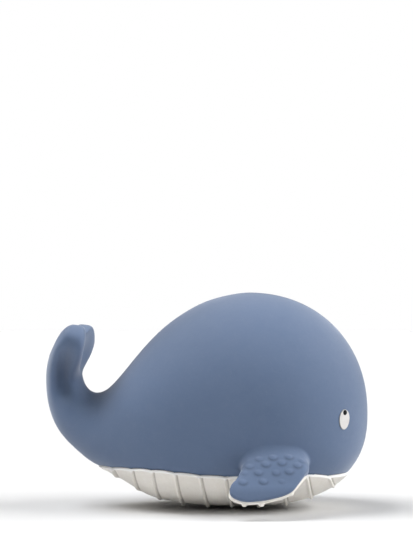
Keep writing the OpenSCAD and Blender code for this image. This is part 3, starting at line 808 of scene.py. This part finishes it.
def node(nt, kind, **values):
    n = nt.nodes.new(kind)
    for k, v in values.items():
        if k in n.inputs:
            n.inputs[k].default_value = v
        else:
            setattr(n, k, v)
    return n


def noise(nt, coords, per_mm, detail=3.0, rough=0.55, dist=0.0):
    n = node(nt, "ShaderNodeTexNoise", Scale=per_mm * 1000, Detail=detail, Roughness=rough, Distortion=dist)
    nt.links.new(coords, n.inputs["Vector"])
    return n.outputs["Fac"]


def remap(nt, value, a, b, c, d):
    n = node(nt, "ShaderNodeMapRange")
    for k, v in zip((1, 2, 3, 4), (a, b, c, d)):
        n.inputs[k].default_value = v
    nt.links.new(value, n.inputs[0])
    return n.outputs[0]


def mix(nt, fac, a, b, how="MIX"):
    n = node(nt, "ShaderNodeMix", data_type="RGBA", blend_type=how)
    for s, v in ((0, fac), (6, a), (7, b)):
        if isinstance(v, bpy.types.NodeSocket):
            nt.links.new(v, n.inputs[s])
        else:
            n.inputs[s].default_value = v
    return n.outputs[2]


def bump(nt, height, strength, dist, normal=None):
    n = node(nt, "ShaderNodeBump", Strength=strength, Distance=dist)
    nt.links.new(height, n.inputs["Height"])
    if normal is not None:
        nt.links.new(normal, n.inputs["Normal"])
    return n.outputs["Normal"]


def blue_rubber():
    m, nt, b = material("blue_rubber_skin")
    co = nt.nodes.new("ShaderNodeTexCoord").outputs["Object"]
    cloud = noise(nt, co, 0.045, 4, 0.6, 0.3)
    blot = noise(nt, co, 0.22, 4, 0.65, 0.4)
    fleck = noise(nt, co, 0.9, 3, 0.6)
    grain = noise(nt, co, 5.0, 2, 0.6)
    dust = noise(nt, co, 0.6, 4, 0.65, 0.3)
    crease = node(nt, "ShaderNodeAttribute", attribute_name="crease")
    hollow = node(nt, "ShaderNodeAttribute", attribute_name="hollow")
    col = mix(nt, remap(nt, cloud, 0.3, 0.7, 0, 1), (0.096, 0.144, 0.243, 1), (0.109, 0.159, 0.264, 1))
    col = mix(nt, remap(nt, blot, 0.35, 0.70, 0, 0.55), col, (0.120, 0.168, 0.268, 1))
    col = mix(nt, remap(nt, fleck, 0.35, 0.65, 0, 0.4), col, (0.110, 0.158, 0.258, 1))
    col = mix(nt, remap(nt, dust, 0.58, 0.80, 0, 0.16), col, (0.20, 0.24, 0.33, 1))
    # painted shade: darker in the stalk's side hollow, in the bend before the back and round the foot of the flippers'
    # bumps
    col = mix(nt, remap(nt, hollow.outputs["Fac"], 0, 1, 0, 0.85), col, (0.030, 0.043, 0.076, 1))
    # painted shade: a thin dark line on the blue along the crease above the lip
    col = mix(nt, remap(nt, crease.outputs["Fac"], 0, 1, 0, 0.75), col, (0.030, 0.045, 0.080, 1))
    nt.links.new(col, b.inputs["Base Color"])
    nt.links.new(remap(nt, fleck, 0.3, 0.7, 0.62, 0.76), b.inputs["Roughness"])
    b.inputs["Specular IOR Level"].default_value = 0.2
    b.inputs["Sheen Weight"].default_value = 0.42
    b.inputs["Sheen Roughness"].default_value = 0.5
    b.inputs["Sheen Tint"].default_value = (0.85, 0.87, 0.92, 1)
    nt.links.new(bump(nt, grain, 0.14, 0.00006, bump(nt, blot, 0.10, 0.0003)), b.inputs["Normal"])
    return m


def cream_rubber():
    m, nt, b = material("cream_rubber_skin")
    co = nt.nodes.new("ShaderNodeTexCoord").outputs["Object"]
    cloud = noise(nt, co, 0.05, 4, 0.6, 0.4)
    fleck = noise(nt, co, 0.8, 3, 0.6)
    grain = noise(nt, co, 5.0, 2, 0.6)
    spots = node(nt, "ShaderNodeTexVoronoi", Scale=330.0, Randomness=1.0)
    nt.links.new(co, spots.inputs["Vector"])
    col = mix(nt, remap(nt, cloud, 0.32, 0.68, 0, 1), (0.80, 0.765, 0.705, 1), (0.85, 0.82, 0.77, 1))
    col = mix(nt, remap(nt, fleck, 0.35, 0.65, 0, 0.35), col, (0.77, 0.73, 0.665, 1))
    col = mix(nt, remap(nt, spots.outputs["Distance"], 0.02, 0.09, 0.35, 0), col, (0.38, 0.37, 0.36, 1))
    hollow = node(nt, "ShaderNodeAttribute", attribute_name="hollow")
    # painted shade: darker in the grooves in front of the ribs
    col = mix(nt, remap(nt, hollow.outputs["Fac"], 0, 1, 0, 0.6), col, (0.30, 0.265, 0.23, 1))
    # painted highlight: lighter along the cream's top edge at the lip
    edge = node(nt, "ShaderNodeAttribute", attribute_name="edge")
    col = mix(nt, remap(nt, edge.outputs["Fac"], 0, 0.8, 0, 0.8), col, (0.95, 0.94, 0.93, 1))
    nt.links.new(col, b.inputs["Base Color"])
    nt.links.new(remap(nt, fleck, 0.3, 0.7, 0.50, 0.66), b.inputs["Roughness"])
    b.inputs["Specular IOR Level"].default_value = 0.4
    b.inputs["Sheen Weight"].default_value = 0.08
    b.inputs["Subsurface Weight"].default_value = 0.08
    b.inputs["Subsurface Radius"].default_value = (0.0007, 0.0006, 0.0005)
    nt.links.new(bump(nt, grain, 0.08, 0.00006, bump(nt, fleck, 0.10, 0.00012)), b.inputs["Normal"])
    return m


def eye_white():
    m, nt, b = material("eye_white_paint")
    co = nt.nodes.new("ShaderNodeTexCoord").outputs["Object"]
    cloud = noise(nt, co, 0.25, 3, 0.6)
    fine = noise(nt, co, 3.0, 2, 0.6)
    edge = node(nt, "ShaderNodeAttribute", attribute_name="edge")
    col = mix(nt, remap(nt, cloud, 0.3, 0.7, 0, 1), (0.63, 0.61, 0.595, 1), (0.69, 0.67, 0.655, 1))
    # painted shade: a dark ring along the white's rim, standing in for the shade of the groove round the eye
    col = mix(nt, remap(nt, edge.outputs["Fac"], 0.90, 0.985, 0, 0.75), col, (0.12, 0.14, 0.17, 1))
    nt.links.new(col, b.inputs["Base Color"])
    nt.links.new(remap(nt, fine, 0.3, 0.7, 0.40, 0.52), b.inputs["Roughness"])
    b.inputs["Specular IOR Level"].default_value = 0.3
    nt.links.new(bump(nt, fine, 0.08, 0.00008), b.inputs["Normal"])
    return m


def eye_black():
    m, nt, b = material("eye_black_paint")
    co = nt.nodes.new("ShaderNodeTexCoord").outputs["Object"]
    fine = noise(nt, co, 2.5, 2, 0.6)
    nt.links.new(mix(nt, remap(nt, fine, 0.3, 0.7, 0, 1), (0.003, 0.003, 0.004, 1), (0.009, 0.008, 0.009, 1)), b.inputs["Base Color"])
    nt.links.new(remap(nt, fine, 0.3, 0.7, 0.42, 0.54), b.inputs["Roughness"])
    b.inputs["Specular IOR Level"].default_value = 0.12
    nt.links.new(bump(nt, fine, 0.06, 0.00006), b.inputs["Normal"])
    return m


BLUE, CREAM, WHITE, BLACK = blue_rubber(), cream_rubber(), eye_white(), eye_black()


def dress(ob, mat):
    ob.data.materials.append(mat)
    return ob


# ---------------------------------------------------------------- pieces; body skin, belly, plug and eyes go on the whale's body
body = dress(build_body(), BLUE)
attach(body, "whale_body")
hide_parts("upper_skin")

tail = dress(build_tail(), BLUE)
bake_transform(tail)
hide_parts("tail_fluke")

belly = dress(build_belly(), CREAM)
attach(belly, "whale_body")
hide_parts("belly_panel")

plug = dress(build_plug(), CREAM)
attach(plug, "whale_body")
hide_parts("fill_plug")

for side, (top, under) in build_flippers().items():
    dress(top, BLUE)
    dress(under, CREAM)
    for ob in (top, under):
        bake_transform(ob)
    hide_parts(side + "_flipper_top", side + "_shoulder")
    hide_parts(side + "_flipper_underside")

for side, (white, dot) in build_eyes().items():
    dress(white, WHITE)
    dress(dot, BLACK)
    for ob, cad in ((white, "_eye_white"), (dot, "_eye_pupil")):
        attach(ob, "whale_body")
        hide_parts(side + cad)


# ---------------------------------------------------------------- stage, light and camera
def floor():
    n = 40
    g = np.linspace(-1, 1, n + 1)
    g = np.sign(g) * np.abs(g) ** 2.2 * 9000
    x, y = np.meshgrid(g, g, indexing="ij")
    p = np.stack([x, y, np.full(x.shape, -0.02)], -1).reshape(-1, 3)
    ob = make_mesh("studio_floor", p, grid_faces(n + 1, n + 1, False, flip=True).tolist())
    m, nt, b = material("studio_floor_white")
    co = nt.nodes.new("ShaderNodeTexCoord").outputs["Object"]
    nt.links.new(mix(nt, noise(nt, co, 0.004, 2), (0.71, 0.71, 0.71, 1), (0.73, 0.73, 0.73, 1)), b.inputs["Base Color"])
    b.inputs["Roughness"].default_value = 0.8
    b.inputs["Specular IOR Level"].default_value = 0.1
    ob.data.materials.append(m)


def backdrop():
    """A round white wall far behind, seen by the camera only."""
    a = np.linspace(0, 2 * math.pi, 96, endpoint=False)
    z = np.linspace(-400, 14000, 8)
    p = np.stack([np.broadcast_to(8800 * np.cos(a), (8, 96)), np.broadcast_to(8800 * np.sin(a), (8, 96)), np.broadcast_to(z[:, None], (8, 96))], -1)
    ob = make_mesh("studio_backdrop", p.reshape(-1, 3), grid_faces(8, 96, True, flip=True).tolist())
    m = bpy.data.materials.new("studio_backdrop_white")
    m.use_nodes = True
    nt = m.node_tree
    nt.nodes.clear()
    e = node(nt, "ShaderNodeEmission", Color=(1, 1, 1, 1), Strength=1.0)
    out = nt.nodes.new("ShaderNodeOutputMaterial")
    nt.links.new(e.outputs[0], out.inputs[0])
    ob.data.materials.append(m)
    ob.visible_diffuse = ob.visible_glossy = ob.visible_transmission = ob.visible_shadow = False


floor()
backdrop()
scene = bpy.context.scene
world = scene.world or bpy.data.worlds.new("studio_world")
scene.world = world
world.use_nodes = True
bg = world.node_tree.nodes.get("Background") or world.node_tree.nodes.new("ShaderNodeBackground")
bg.inputs["Color"].default_value = (1, 1, 1, 1)
bg.inputs["Strength"].default_value = 0.13


def sun(name, towards, strength, wide):
    d = bpy.data.lights.new(name, "SUN")
    d.energy = strength
    d.angle = math.radians(wide)
    o = bpy.data.objects.new(name, d)
    o.rotation_mode = "QUATERNION"
    o.rotation_quaternion = Vector(towards).to_track_quat("-Z", "Y")
    bpy.context.scene.collection.objects.link(o)


sun("softbox_nose", (-0.85, 0.04, -0.52), 2.9, 40)
sun("softbox_tail", (0.46, 0.05, -0.88), 3.0, 40)
sun("softbox_front", (0.02, 0.80, -0.60), 0.35, 60)
scene.view_settings.view_transform = "Standard"

PX_F = 1601.0  # focal length in pixels of the 413 by 540 frame
EYE = np.array([math.sin(math.radians(1.2)) * 600 + 0.06, -math.cos(math.radians(1.2)) * 600, 70.0])
AIM = np.array([0.06, 0.0, 88.45])
cam = bpy.data.cameras.new("photo_camera")
cam.sensor_width = 36
cam.sensor_fit = "AUTO"
cam.lens = PX_F * 36 / 540
cam.clip_start, cam.clip_end = 0.01, 100
cob = bpy.data.objects.new("photo_camera", cam)
cob.location = EYE * MM
cob.rotation_mode = "QUATERNION"
cob.rotation_quaternion = Vector(AIM - EYE).to_track_quat("-Z", "Y")
scene.collection.objects.link(cob)
scene.camera = cob
